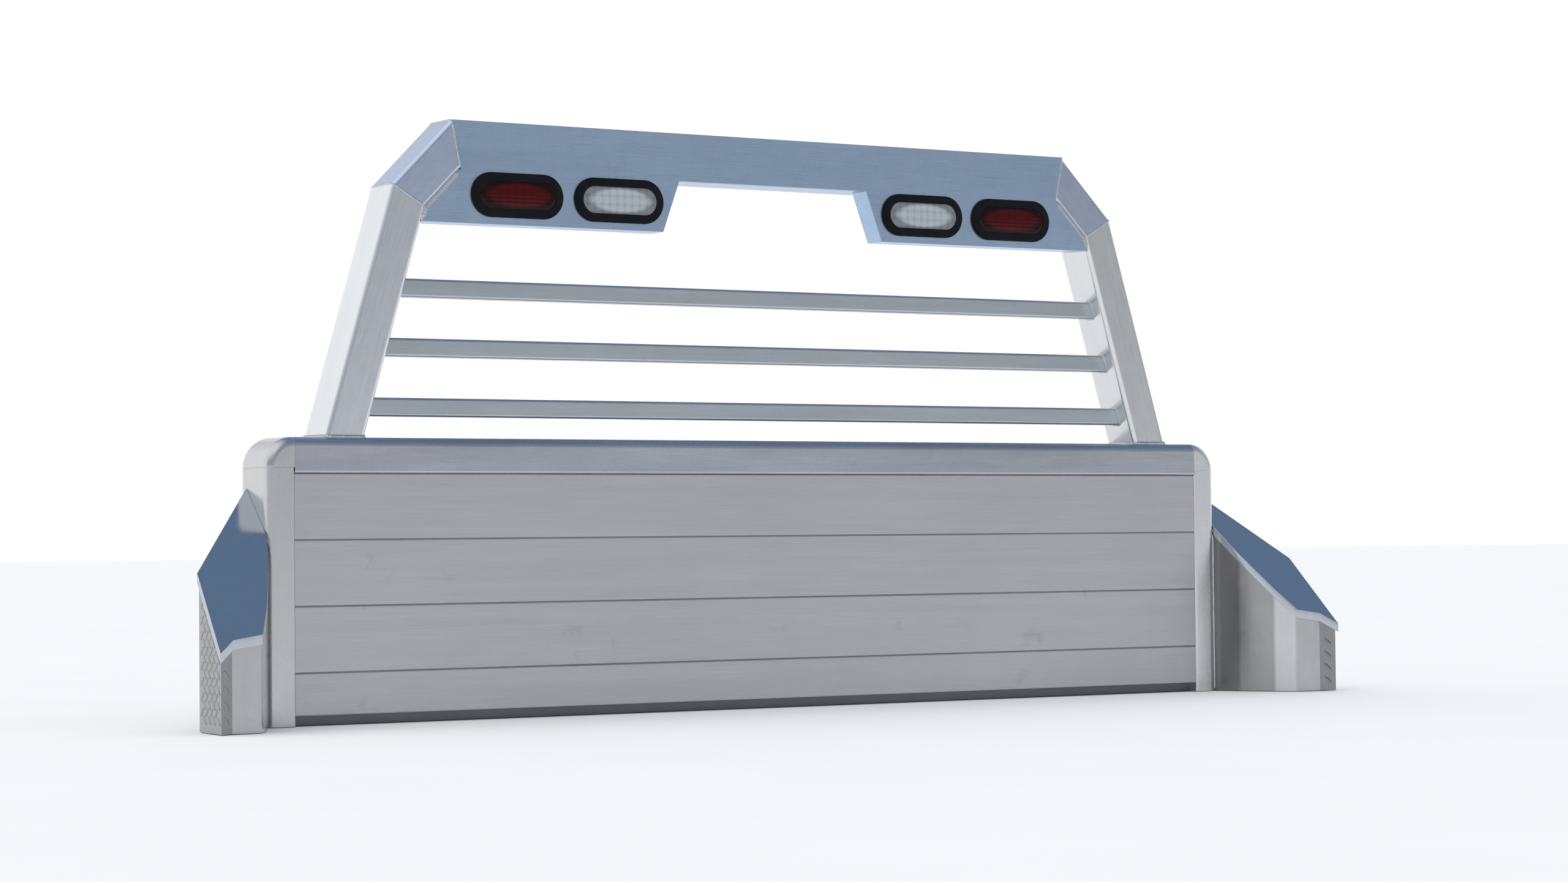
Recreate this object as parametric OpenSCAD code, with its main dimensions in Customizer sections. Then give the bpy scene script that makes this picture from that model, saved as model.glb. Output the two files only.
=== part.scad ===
// Aluminium flatbed headache rack: plank bulkhead, lamp-carrying window frame, corner wings.
// X runs across the truck (right is +X), +Y points to the cab, +Z is up.
// The origin is on the deck, at mid width and mid depth of the bulkhead.

/* [Bulkhead] */
// Width over the end posts
bulkhead_w = 2146; // [1780:1:2600]
// Height of the bulkhead above the deck
bulkhead_h = 508; // [420:1:640]
// Depth of the bulkhead, front to back
bulkhead_d = 102; // [90:1:150]
// Height of the top rail
rail_h = 64; // [56:1:90]
// Width of each end post, and outer radius of the rail corners
end_post_w = 54; // [45:1:65]
// Wall of the rail, the posts and the studs
tube_wall = 4; // [3:0.5:6]
// Rounding along the rear outer edges of the rail and the end posts
rear_edge_r = 16; // [6:0.5:20]
// Rounding along their front outer edges
front_edge_r = 5; // [4.5:0.5:8]
// Height of one full plank
plank_h = 117; // [95:1:140]
// Thickness of a plank
plank_t = 28; // [22:1:34]
// Wall of the hollow planks
plank_wall = 2.5; // [2:0.5:4]
// How far the planks sit back from the posts and the rail
plank_setback = 3; // [1:0.5:6]
// Shadow gap between the deck and the lowest plank
plank_gap = 18; // [10:1:30]
// Height of the base sill
sill_h = 70; // [60:1:90]
// How far the sill flange reaches in front of the bulkhead
flange_out = 44; // [34:1:70]
// Thickness of the sill flange
flange_t = 6; // [5:0.5:10]
// Diameter of the deck bolt holes
deck_hole_d = 14; // [9:0.5:18]
// Distance between neighbouring deck bolt holes
deck_hole_pitch = 380; // [300:1:400]
// Width of each stud behind the planks
stud_w = 50; // [40:1:60]
// Distance from the middle to each inner stud
stud_inner_x = 305; // [200:1:420]

/* [Window frame] */
// Height of the rack above the deck
rack_h = 1085; // [905:1:1330]
// Depth of the frame tubes, front to back
frame_d = 89; // [76:1:100]
// Width of a post or corner tube, seen from the rear
frame_w = 76.2; // [63:0.1:82]
// Rounding along the edges of the frame tubes
frame_edge_r = 9; // [5:0.5:12]
// Distance from the bulkhead end to the outside of a post foot
foot_inset = 119; // [80:1:160]
// Inward lean of the posts, in degrees from upright
post_lean = 16.7; // [8:0.1:20]
// Drop of the sloped top corners
corner_drop = 121; // [100:1:150]
// Height of the top crossmember
cross_h = 90; // [80:1:104]
// How far the lamp ears hang below the crossmember
ear_drop = 97; // [90:1:130]
// How far the inner end of an ear slopes
ear_slope = 36; // [0:1:50]
// Depth of the light boxes behind the lamp panel
box_d = 40; // [38:1:70]
// Thickness of the lamp panel
panel_t = 4; // [3:0.5:6]
// Thickness of the light box walls and covers
box_wall = 3; // [2:0.5:4]
// Height of a window bar
bar_h = 34; // [25:1:40]
// Depth of a window bar
bar_d = 25; // [20:1:40]
// Wall of a window bar
bar_wall = 2.5; // [2:0.5:4]
// Rail top to the middle of the lowest bar, as a share of the window below the ears
bar_low_share = 0.144; // [0.12:0.001:0.2]
// Middle of the highest bar to the bottom of the ears, as a share of the same window
bar_high_share = 0.303; // [0.2:0.001:0.33]

/* [Lamps] */
// Width of a lamp, over its lens flange
lamp_w = 164; // [136:0.1:170]
// Height of a lamp, over its lens flange
lamp_h = 56; // [50:1:58]
// Width of the rubber seen all round a lamp
grommet_lip = 13; // [8:0.5:13]
// How far a grommet stands out of the lamp panel
grommet_out = 6.5; // [3:0.5:7]
// Distance between the two lamps of an ear
lamp_pitch = 216; // [205:1:240]
// Outer lamp edge to the post, at lamp height
lamp_margin = 97; // [80:1:110]
// Inner lamp middle to the inner end of an ear
ear_inner_gap = 133; // [112:1:150]
// Depth of a lamp housing
housing_d = 20; // [16:1:32]
// Lamps' middle above the bottom of the ears
lamp_rise = 54; // [44:0.5:60]
// Diameter of the wiring loom
loom_d = 8; // [6:0.5:10]

/* [Wings] */
// How far a wing stands out past the bulkhead end
wing_out = 169; // [130:1:200]
// How far a wing runs back from the bulkhead's rear face
wing_back = 175; // [140:1:220]
// Width of the small rear end of a wing
wing_end_w = 84.5; // [65:0.5:95]
// Height of a wing at its outer rear corner
wing_low_h = 143; // [110:1:170]
// Steepness of the wing cap, in degrees
wing_slope = 46; // [40:0.5:50]
// Direction in which the wing cap falls, in degrees
wing_fall = 87; // [80:0.5:105]
// Height of the folded lips round the wing cap
wing_lip = 18; // [8:0.5:30]
// Thickness of the tread plate
tread_t = 3.2; // [2.5:0.1:5]
// Thickness of the wing liner and cap
sheet_t = 3; // [2:0.5:4]
// Thickness of the wing foot plate
wing_foot_t = 6; // [5:0.5:10]
// Distance between the two wing foot holes
wing_hole_pitch = 90; // [60:1:96]
// Diameter of the wing foot holes
wing_hole_d = 11; // [8:0.5:14]

/* [Hidden] */
$fn = 48;
past = 20;                      // how far a cutting shape runs past what it cuts
lens_fit = 0.4;                 // clearance of a lens in its grommet, over its width
tongue_fit = 0.3;               // clearance round a plank tongue

half_w = bulkhead_w / 2;
rear_y = -bulkhead_d / 2;
front_y = bulkhead_d / 2;
rail_low_z = bulkhead_h - rail_h;
inner_edge_r = 4.5;
inner_half_w = half_w - end_post_w;

// Planks, full height from the rail down, the lowest one ripped to suit
plank_rear_y = rear_y + plank_setback;
plank_front_y = plank_rear_y + plank_t;
plank_count = 4;
plank_edge_chamfer = 2;
tongue_w = 9;
tongue_h = 7;

// Window frame outline on the right side, as points in X and Z
frame_front_y = front_y;
frame_rear_y = frame_front_y - frame_d;
frame_mid_y = (frame_front_y + frame_rear_y) / 2;
lean_run = tan(post_lean);
foot_out_x = half_w - foot_inset;
foot_span = frame_w / cos(post_lean);
corner_low_z = rack_h - corner_drop;
outer_low = [foot_out_x - lean_run * (corner_low_z - bulkhead_h), corner_low_z];
outer_top = outer_low + [-corner_drop, corner_drop];
cross_low_z = rack_h - cross_h;
ear_low_z = cross_low_z - ear_drop;
// Sum of X and Z on the inner face of a corner tube, which slopes at 45 degrees
corner_sum = outer_low[0] + outer_low[1] - frame_w * sqrt(2);
foot_in_x = foot_out_x - foot_span;
inner_low_z = (corner_sum - foot_in_x - lean_run * bulkhead_h) / (1 - lean_run);
inner_low = [corner_sum - inner_low_z, inner_low_z];
inner_top = [corner_sum - cross_low_z, cross_low_z];
function post_inner_x(z) = foot_in_x - lean_run * (z - bulkhead_h);

// Lamps
lamp_z = ear_low_z + lamp_rise;
lamp_outer_x = post_inner_x(lamp_z) - lamp_margin - lamp_w / 2;
lamp_inner_x = lamp_outer_x - lamp_pitch;
ear_end_x = lamp_inner_x - ear_inner_gap;
panel_front_y = frame_rear_y + panel_t;
box_front_y = panel_front_y + box_d;
grommet_w = lamp_w + 2 * grommet_lip;
grommet_h = lamp_h + 2 * grommet_lip;
neck_lip = 5;                   // rubber between a lamp and the edge of its cut-out
inner_lip = 9;                  // rubber behind the panel
inner_flange_t = 5;
lens_flange_t = 3;
lens_dome_t = 1.5;
lens_rim = 5;
lens_rear_y = frame_rear_y - grommet_out + lens_flange_t + 1;
housing_rim = 3;
housing_wall = 2;
board_t = 1.6;
board_gap = 8;                  // lens to circuit board
plug_size = [34, 12, 16];

// Wiring
loom_y = lens_rear_y + housing_d + plug_size[1] + loom_d / 2 - 2;
loom_rise_in = 60;              // from an inner lamp to where the loom climbs into the crossmember
loom_drop = 32;                 // from the lamps down to the loom's way into the post
loom_tail = [60, 90];           // past the left lamp: start and end of that way down
gland_rise = 72;                // gland above the top rail
loom_facets = [4, 10];          // along each bend, and round the loom
loom_rise_x = lamp_inner_x - loom_rise_in;
loom_cross_z = (rack_h + cross_low_z) / 2;
loom_post_z = lamp_z - loom_drop;
gland_z = bulkhead_h + gland_rise;
loom_hole_d = loom_d + 6;
loom_bend = 9;                  // length of a corner that each bend takes from the loom's route

// Window bars
bar_count = 3;
bar_edge_r = 5;
window_h = ear_low_z - bulkhead_h;
bar_low_z = bulkhead_h + bar_low_share * window_h;
bar_pitch = (1 - bar_low_share - bar_high_share) * window_h / (bar_count - 1);

// Wing plan on the right side, counter-clockwise, from the corner of the bulkhead end and its rear face.
// The liner has two bends between its root and the rear end, and the tread plate turns round the rear corner.
wing_root_front = 80;           // outer root, in front of the bulkhead's rear face
wing_root_rear = 11;            // inner root
wing_end_turn = 22;             // how far the inner rear corner is in front of the outer one
wing_return = [28, 17];         // tread plate turned in round the outer rear corner
wing_shoulder = [15.5, 122];    // shoulder of the outer side, from the outer rear corner
wing_bends = [[0.27, 0.35], [0.69, 0.76]];
wing_outer_rear = [wing_out, -wing_back];
wing_inner_rear = [wing_out - wing_end_w, wing_end_turn - wing_back];
wing_plan_local = [
    [0, wing_root_front], [0, wing_root_rear],
    for (b = wing_bends) [b[0] * wing_inner_rear[0], wing_root_rear + b[1] * (wing_inner_rear[1] - wing_root_rear)],
    wing_inner_rear, wing_outer_rear + [-wing_return[0], wing_return[1]],
    wing_outer_rear, wing_outer_rear + [-wing_shoulder[0], wing_shoulder[1]]
];
wing_plan = [for (p = wing_plan_local) p + [half_w, rear_y]];
skin_gauge = [0, 0, 0, 0, 0, tread_t, tread_t, tread_t];
liner_gauge = [0, sheet_t, sheet_t, sheet_t, sheet_t, tread_t, tread_t, tread_t];
lip_gauge = [0, -sheet_t, -sheet_t, -sheet_t, -sheet_t, -sheet_t, -sheet_t, -sheet_t];
wing_skin_inside = inset(wing_plan, skin_gauge);
wing_liner_inside = inset(wing_plan, liner_gauge);
wing_lip_outside = inset(wing_plan, lip_gauge);
wing_hole_in = 63;              // outer side to the line of the wing foot holes
wing_hole_back = 46;            // outer rear corner to the first of them
wing_tall = 600;                // longer than any wing is high

// Outline helpers: a corner of an outline moves in with the two edges that meet there
function unit(v) = v / norm(v);
function inward(v) = [-v[1], v[0]];
function meet(p, u, q, v) = p + u * (cross(q - p, v) / cross(u, v));
function inset(pts, gauge) =
    let (n = len(pts))
    [
        for (i = [0 : n - 1])
            let (
                before = (i + n - 1) % n,
                u = unit(pts[i] - pts[before]),
                v = unit(pts[(i + 1) % n] - pts[i])
            )
            meet(pts[i] + inward(u) * gauge[before], u, pts[i] + inward(v) * gauge[i], v)
    ];
function even_gauge(pts, t) = [for (p = pts) t];
function mirrored(p) = [-p[0], p[1]];

// Solid over an X and Z outline
module across_y(y0, y1) {
    translate([0, y1, 0]) rotate([90, 0, 0]) linear_extrude(y1 - y0) children();
}
// Solid over a Y and Z profile
module along_x(x0, x1) {
    translate([x0, 0, 0]) rotate([90, 0, 90]) linear_extrude(x1 - x0) children();
}
module round_box(w, h, r) {
    square([w - 2 * r, h], center = true);
    square([w, h - 2 * r], center = true);
    for (sx = [-1, 1], sy = [-1, 1])
        translate([sx * (w / 2 - r), sy * (h / 2 - r)]) circle(r);
}
module tube_section(w, h, wall, r) {
    difference() {
        round_box(w, h, r);
        round_box(w - 2 * wall, h - 2 * wall, max(r - wall, 1));
    }
}
// Box with its own rounding at each corner, from the lower left one round counter-clockwise
module soft_box(w, h, radii) {
    difference() {
        square([w, h], center = true);
        for (i = [0 : 3]) {
            r = radii[i];
            sx = [-1, 1, 1, -1][i];
            sy = [-1, -1, 1, 1][i];
            if (r > 0) translate([sx * (w / 2 - r), sy * (h / 2 - r)]) difference() {
                translate([min(sx, 0) * (r + 1), min(sy, 0) * (r + 1)]) square(r + 1);
                circle(r);
            }
        }
    }
}
module soft_tube(w, h, wall, radii) {
    difference() {
        soft_box(w, h, radii);
        soft_box(w - 2 * wall, h - 2 * wall, [for (r = radii) max(r - wall, 0)]);
    }
}
module oval(w, h) {
    square([w - h, h], center = true);
    for (s = [-1, 1]) translate([s * (w - h) / 2, 0]) circle(h / 2);
}
module oval_plate(x, y0, y1, w, h) {
    across_y(y0, y1) translate([x, lamp_z]) oval(w, h);
}
module on_left() {
    mirror([1, 0, 0]) children();
}
module rod(a, b, d) {
    v = b - a;
    translate(a) rotate([0, acos(v[2] / norm(v)), atan2(v[1], v[0])]) cylinder(h = norm(v), d = d);
}

// Cable swept along a route whose corners are rounded
function round_corner(a, p, b, r, steps) =
    let (u = unit(a - p) * r, v = unit(b - p) * r)
    [for (k = [0 : steps]) let (t = k / steps) p + u * (1 - t) * (1 - t) + v * t * t];
function round_route(pts, r, steps) = [
    pts[0],
    for (i = [1 : len(pts) - 2]) each round_corner(pts[i - 1], pts[i], pts[i + 1], r, steps),
    pts[len(pts) - 1]
];
function directions(pts) =
    let (last = len(pts) - 1)
    [for (i = [0 : last]) unit(pts[min(i + 1, last)] - pts[max(i - 1, 0)])];
// A side vector carried along the route without twisting
function side_vectors(dirs, i = 1, sides = [[0, 1, 0]]) =
    i == len(dirs) ? sides :
    let (s = sides[i - 1] - dirs[i] * (sides[i - 1] * dirs[i]))
    side_vectors(dirs, i + 1, concat(sides, [unit(s)]));
module cable(route, d, n) {
    dirs = directions(route);
    side = side_vectors(dirs);
    rings = len(route);
    points = [
        for (i = [0 : rings - 1], k = [0 : n - 1])
            let (a = 360 * k / n)
            route[i] + (side[i] * cos(a) + cross(dirs[i], side[i]) * sin(a)) * d / 2
    ];
    walls = [
        for (i = [0 : rings - 2], k = [0 : n - 1])
            let (a = i * n + k, b = i * n + (k + 1) % n)
            [a, a + n, b + n, b]
    ];
    ends = [[for (k = [0 : n - 1]) k], [for (k = [0 : n - 1]) rings * n - 1 - k]];
    polyhedron(points, concat(walls, ends), convexity = 6);
}

// ---- bulkhead ----
deck_holes = [for (i = [-2, -1, 1, 2]) [i * deck_hole_pitch, front_y + flange_out / 2]];

module base_sill() {
    box_h = sill_h;
    box_w = front_y - plank_front_y;
    color("silver") difference() {
        along_x(-inner_half_w, inner_half_w) {
            difference() {
                translate([plank_front_y, 0]) square([box_w, box_h]);
                translate([plank_front_y + tube_wall, flange_t])
                    square([box_w - 2 * tube_wall, box_h - flange_t - tube_wall]);
            }
            translate([front_y, 0]) square([flange_out, flange_t]);
        }
        for (p = deck_holes) translate([p[0], p[1], -1]) cylinder(h = flange_t + 2, d = deck_hole_d);
    }
}

module end_post() {
    post_h = bulkhead_h - end_post_w;
    radii = [inner_edge_r, rear_edge_r, front_edge_r, inner_edge_r];
    color("gainsboro") translate([half_w - end_post_w / 2, 0, 0])
        linear_extrude(post_h) soft_tube(end_post_w, bulkhead_d, tube_wall, radii);
}

// The outer radius of the corner is the post's width, so that it flows into the post
module rail_corner() {
    r = end_post_w;
    radii = [0, front_edge_r, rear_edge_r, 0];
    color("gainsboro") translate([half_w - r, 0, bulkhead_h - r]) rotate([90, 0, 0])
        rotate_extrude(angle = 90, $fn = 96)
            translate([r / 2, 0]) soft_tube(r, bulkhead_d, tube_wall, radii);
}

module top_rail() {
    radii = [inner_edge_r, inner_edge_r, front_edge_r, rear_edge_r];
    color("lightsteelblue") along_x(-inner_half_w, inner_half_w)
        translate([0, bulkhead_h - rail_h / 2]) soft_tube(bulkhead_d, rail_h, tube_wall, radii);
}

// One plank from z0 up, with a tongue above and a groove below where another plank joins it
module plank(z0, h, has_tongue, has_groove) {
    c = plank_edge_chamfer;
    mid = plank_rear_y + plank_t / 2;
    web_h = (h - 2 * plank_wall - 2 * tongue_h - plank_wall) / 2;
    color("lightgray") along_x(-inner_half_w, inner_half_w) translate([0, z0]) {
        difference() {
            polygon([
                [plank_rear_y + c, 0], [plank_front_y, 0], [plank_front_y, h], [plank_rear_y + c, h],
                [plank_rear_y, h - c], [plank_rear_y, c]
            ]);
            if (has_groove)
                translate([mid - tongue_w / 2 - tongue_fit, -1])
                    square([tongue_w + 2 * tongue_fit, tongue_h + 1 + tongue_fit]);
            for (k = [0, 1])
                translate([plank_rear_y + plank_wall, plank_wall + tongue_h + k * (web_h + plank_wall)])
                    square([plank_t - 2 * plank_wall, web_h]);
        }
        if (has_tongue) translate([mid - tongue_w / 2, h]) square([tongue_w, tongue_h]);
    }
}
function plank_low(i) = i == 1 ? plank_gap : rail_low_z - (plank_count + 1 - i) * plank_h;
function plank_high(i) = rail_low_z - (plank_count - i) * plank_h;
module plank_at(i) {
    plank(plank_low(i), plank_high(i) - plank_low(i), i < plank_count, i > 1);
}
module bulkhead_plank_1() { plank_at(1); }
module bulkhead_plank_2() { plank_at(2); }
module bulkhead_plank_3() { plank_at(3); }
module bulkhead_plank_4() { plank_at(4); }

module stud(x) {
    stud_d = front_y - plank_front_y;
    color("darkgray") translate([x, plank_front_y + stud_d / 2, sill_h])
        linear_extrude(rail_low_z - sill_h) difference() {
            square([stud_w, stud_d], center = true);
            square([stud_w - 2 * tube_wall, stud_d - 2 * tube_wall], center = true);
        }
}
stud_outer_x = foot_out_x - foot_span / 2;
module stud_outer_left() { stud(-stud_outer_x); }
module stud_inner_left() { stud(-stud_inner_x); }
module stud_inner_right() { stud(stud_inner_x); }
module stud_outer_right() { stud(stud_outer_x); }

module end_post_left() { on_left() end_post(); }
module end_post_right() { end_post(); }
module rail_corner_left() { on_left() rail_corner(); }
module rail_corner_right() { rail_corner(); }

// ---- window frame ----
low_mitre = unit(outer_low - inner_low) * past;
top_mitre = unit(outer_top - inner_top) * past;

// A frame tube through a point of its centre line, leaning in by an angle
module leaning_tube(at, lean, length, solid_inside) {
    w = solid_inside ? frame_w - 2 * tube_wall : frame_w;
    d = solid_inside ? frame_d - 2 * tube_wall : frame_d;
    r = solid_inside ? frame_edge_r - tube_wall : frame_edge_r;
    translate([at[0], frame_mid_y, at[1]]) rotate([0, -lean, 0]) translate([0, 0, -length / 2])
        linear_extrude(length) round_box(w, d, r);
}
module hollow_tube(at, lean, length) {
    difference() {
        leaning_tube(at, lean, length, false);
        leaning_tube(at, lean, length + 2, true);
    }
}

module frame_post() {
    foot = [foot_out_x - foot_span / 2, bulkhead_h];
    length = 2.6 * (corner_low_z - bulkhead_h);
    intersection() {
        hollow_tube(foot, post_lean, length);
        across_y(frame_rear_y - 1, frame_front_y + 1) polygon([
            [foot_in_x - past, bulkhead_h], [foot_out_x + past, bulkhead_h],
            outer_low + low_mitre, inner_low - low_mitre
        ]);
    }
}
module frame_post_left() {
    color("aliceblue") difference() {
        on_left() frame_post();
        // wiring comes in from the light box and leaves at the gland
        rod([-post_inner_x(loom_post_z) + past, loom_y, loom_post_z],
            [-post_inner_x(loom_post_z) - frame_w / 2, loom_y, loom_post_z], loom_hole_d);
        rod([-gland_x, frame_front_y - past, gland_z], [-gland_x, frame_front_y + 1, gland_z], gland_d);
    }
}
module frame_post_right() { color("aliceblue") frame_post(); }

module corner_tube() {
    mid = (outer_low + outer_top + inner_low + inner_top) / 4;
    along = [-1, 1] / sqrt(2);
    // point of the tube's own centre line that is nearest to the middle of its outline
    outside = outer_low + along * ((mid - outer_low) * along);
    centre = outside - [1, 1] / sqrt(2) * frame_w / 2;
    length = 3.2 * corner_drop;
    color("aliceblue") intersection() {
        hollow_tube(centre, 45, length);
        across_y(frame_rear_y - 1, frame_front_y + 1) polygon([
            outer_low + low_mitre, outer_top + top_mitre, inner_top - top_mitre, inner_low - low_mitre
        ]);
    }
}
module corner_tube_left() { on_left() corner_tube(); }
module corner_tube_right() { corner_tube(); }

module top_crossmember() {
    tube_d = frame_d - panel_t;
    mid_y = (panel_front_y + frame_front_y) / 2;
    color("lightsteelblue") difference() {
        intersection() {
            along_x(-outer_top[0] - past, outer_top[0] + past)
                translate([mid_y, rack_h - cross_h / 2]) tube_section(tube_d, cross_h, tube_wall, frame_edge_r);
            across_y(panel_front_y - 1, frame_front_y + 1) polygon([
                mirrored(inner_top - top_mitre), inner_top - top_mitre,
                outer_top + top_mitre, mirrored(outer_top + top_mitre)
            ]);
        }
        for (s = [-1, 1])
            translate([s * loom_rise_x, loom_y, cross_low_z - 1])
                cylinder(h = tube_wall + 2, d = loom_hole_d);
    }
}

// Ear outline on the right side, counter-clockwise in X and Z
ear_outline = [
    [ear_end_x + ear_slope, ear_low_z], [post_inner_x(ear_low_z), ear_low_z],
    inner_low, inner_top, [ear_end_x, cross_low_z]
];

module lamp_panel() {
    color("lightsteelblue") difference() {
        across_y(frame_rear_y, panel_front_y) {
            polygon([
                mirrored(inner_top), inner_top, outer_top, mirrored(outer_top)
            ]);
            for (s = [0, 1]) mirror([s, 0]) polygon(ear_outline);
        }
        for (x = lamp_places)
            oval_plate(x, frame_rear_y - 1, panel_front_y + 1, lamp_w + 2 * neck_lip, lamp_h + 2 * neck_lip);
    }
}
lamp_places = [-lamp_outer_x, -lamp_inner_x, lamp_inner_x, lamp_outer_x];

module cover_screw_hole(p) {
    rod([p[0], box_front_y - screw_l - 2, p[1]], [p[0], box_front_y + 1, p[1]], screw_d);
}
module light_box(has_side_hole) {
    difference() {
        union() {
            across_y(panel_front_y, box_front_y) difference() {
                polygon(ear_outline);
                polygon(inset(ear_outline, even_gauge(ear_outline, box_wall)));
            }
            for (p = cover_screw_places) intersection() {
                rod([p[0], box_front_y - screw_boss_l, p[1]], [p[0], box_front_y, p[1]], screw_boss_d);
                across_y(panel_front_y, box_front_y) polygon(ear_outline);
            }
        }
        for (p = cover_screw_places) cover_screw_hole(p);
        translate([loom_rise_x, loom_y, cross_low_z - box_wall - 1])
            cylinder(h = box_wall + 2, d = loom_hole_d);
        if (has_side_hole)
            rod([post_inner_x(loom_post_z) - past, loom_y, loom_post_z],
                [post_inner_x(loom_post_z) + past, loom_y, loom_post_z], loom_hole_d);
    }
}
screw_d = 4;
screw_boss_d = 14;
screw_boss_l = 14;
screw_head_d = 9;
screw_head_h = 2.6;
screw_l = 10;
screw_inset = 9;
cover_corners = inset(ear_outline, even_gauge(ear_outline, screw_inset));
cover_screw_places = [cover_corners[0], cover_corners[1], cover_corners[3], cover_corners[4]];

module light_box_left() { color("silver") on_left() light_box(true); }
module light_box_right() { color("silver") light_box(false); }

module box_cover() {
    color("silver") difference() {
        across_y(box_front_y, box_front_y + box_wall) polygon(ear_outline);
        for (p = cover_screw_places)
            rod([p[0], box_front_y - 1, p[1]], [p[0], box_front_y + box_wall + 1, p[1]], screw_d);
    }
}
module box_cover_left() { on_left() box_cover(); }
module box_cover_right() { box_cover(); }

module cover_screw(p) {
    head_y = box_front_y + box_wall;
    rod([p[0], head_y - screw_l, p[1]], [p[0], head_y, p[1]], screw_d);
    difference() {
        rod([p[0], head_y, p[1]], [p[0], head_y + screw_head_h, p[1]], screw_head_d);
        rod([p[0], head_y + 1, p[1]], [p[0], head_y + screw_head_h + 1, p[1]], screw_d);
    }
}
module cover_screws() {
    color("gray") for (s = [0, 1]) mirror([s, 0, 0])
        for (p = cover_screw_places) cover_screw(p);
}

module window_bar(i) {
    z = bar_low_z + (i - 1) * bar_pitch;
    color("lightslategray") intersection() {
        along_x(-foot_out_x, foot_out_x) translate([frame_mid_y, z])
            tube_section(bar_d, bar_h, bar_wall, bar_edge_r);
        across_y(frame_rear_y, frame_front_y) polygon([
            [-post_inner_x(z - bar_h), z - bar_h], [post_inner_x(z - bar_h), z - bar_h],
            [post_inner_x(z + bar_h), z + bar_h], [-post_inner_x(z + bar_h), z + bar_h]
        ]);
    }
}
module window_bar_1() { window_bar(1); }
module window_bar_2() { window_bar(2); }
module window_bar_3() { window_bar(3); }

// ---- lamps ----
module grommet(x) {
    color("dimgray") difference() {
        union() {
            oval_plate(x, frame_rear_y - grommet_out, frame_rear_y, grommet_w, grommet_h);
            oval_plate(x, frame_rear_y, panel_front_y, lamp_w + 2 * neck_lip, lamp_h + 2 * neck_lip);
            oval_plate(x, panel_front_y, panel_front_y + inner_flange_t,
                       lamp_w + 2 * inner_lip, lamp_h + 2 * inner_lip);
        }
        oval_plate(x, frame_rear_y - grommet_out - 1, panel_front_y + inner_flange_t + 1,
                   lamp_w - 2 * housing_rim, lamp_h - 2 * housing_rim);
        oval_plate(x, frame_rear_y - grommet_out - 1, lens_rear_y + housing_rim, lamp_w + lens_fit, lamp_h + lens_fit);
    }
}
module grommet_outer_left() { grommet(-lamp_outer_x); }
module grommet_inner_left() { grommet(-lamp_inner_x); }
module grommet_inner_right() { grommet(lamp_inner_x); }
module grommet_outer_right() { grommet(lamp_outer_x); }

module lens(x, tint) {
    color(tint) {
        oval_plate(x, lens_rear_y - lens_flange_t, lens_rear_y, lamp_w, lamp_h);
        oval_plate(x, lens_rear_y - lens_flange_t - lens_dome_t, lens_rear_y - lens_flange_t,
                   lamp_w - 2 * lens_rim, lamp_h - 2 * lens_rim);
    }
}
module lens_red_left() { lens(-lamp_outer_x, "firebrick"); }
module lens_clear_left() { lens(-lamp_inner_x, "whitesmoke"); }
module lens_clear_right() { lens(lamp_inner_x, "whitesmoke"); }
module lens_red_right() { lens(lamp_outer_x, "firebrick"); }

body_w = lamp_w - 2 * housing_rim - 1;
body_h = lamp_h - 2 * housing_rim - 1;
module housing(x) {
    back_y = lens_rear_y + housing_d;
    color("black") difference() {
        union() {
            oval_plate(x, lens_rear_y, lens_rear_y + housing_rim, lamp_w, lamp_h);
            oval_plate(x, lens_rear_y + housing_rim, back_y, body_w, body_h);
        }
        oval_plate(x, lens_rear_y - 1, back_y - housing_wall,
                   body_w - 2 * housing_wall, body_h - 2 * housing_wall);
    }
}
module housing_outer_left() { housing(-lamp_outer_x); }
module housing_inner_left() { housing(-lamp_inner_x); }
module housing_inner_right() { housing(lamp_inner_x); }
module housing_outer_right() { housing(lamp_outer_x); }

led_pitch = [22, 16];
led_d = 6;
led_h = 2;
post_d = 5;
module led_board(x) {
    y = lens_rear_y + board_gap;
    color("darkgreen") {
        oval_plate(x, y, y + board_t, body_w - 2 * housing_wall - 1, body_h - 2 * housing_wall - 1);
        for (i = [-2 : 2], j = [-0.5, 0.5])
            rod([x + i * led_pitch[0], y - led_h, lamp_z + j * led_pitch[1]],
                [x + i * led_pitch[0], y, lamp_z + j * led_pitch[1]], led_d);
        for (s = [-1, 1])
            rod([x + s * body_w / 4, y + board_t, lamp_z],
                [x + s * body_w / 4, lens_rear_y + housing_d - housing_wall, lamp_z], post_d);
    }
}
module led_board_outer_left() { led_board(-lamp_outer_x); }
module led_board_inner_left() { led_board(-lamp_inner_x); }
module led_board_inner_right() { led_board(lamp_inner_x); }
module led_board_outer_right() { led_board(lamp_outer_x); }

module lamp_plugs() {
    back_y = lens_rear_y + housing_d;
    color("darkslategray") for (x = lamp_places)
        translate([x - plug_size[0] / 2, back_y, lamp_z - plug_size[2] / 2]) difference() {
            cube(plug_size);
            // the loom is clipped into a groove across the back of the plug
            rod([-1, plug_size[1] - 2 + loom_d / 2, plug_size[2] / 2],
                [plug_size[0] + 1, plug_size[1] - 2 + loom_d / 2, plug_size[2] / 2], loom_d);
        }
}

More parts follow.
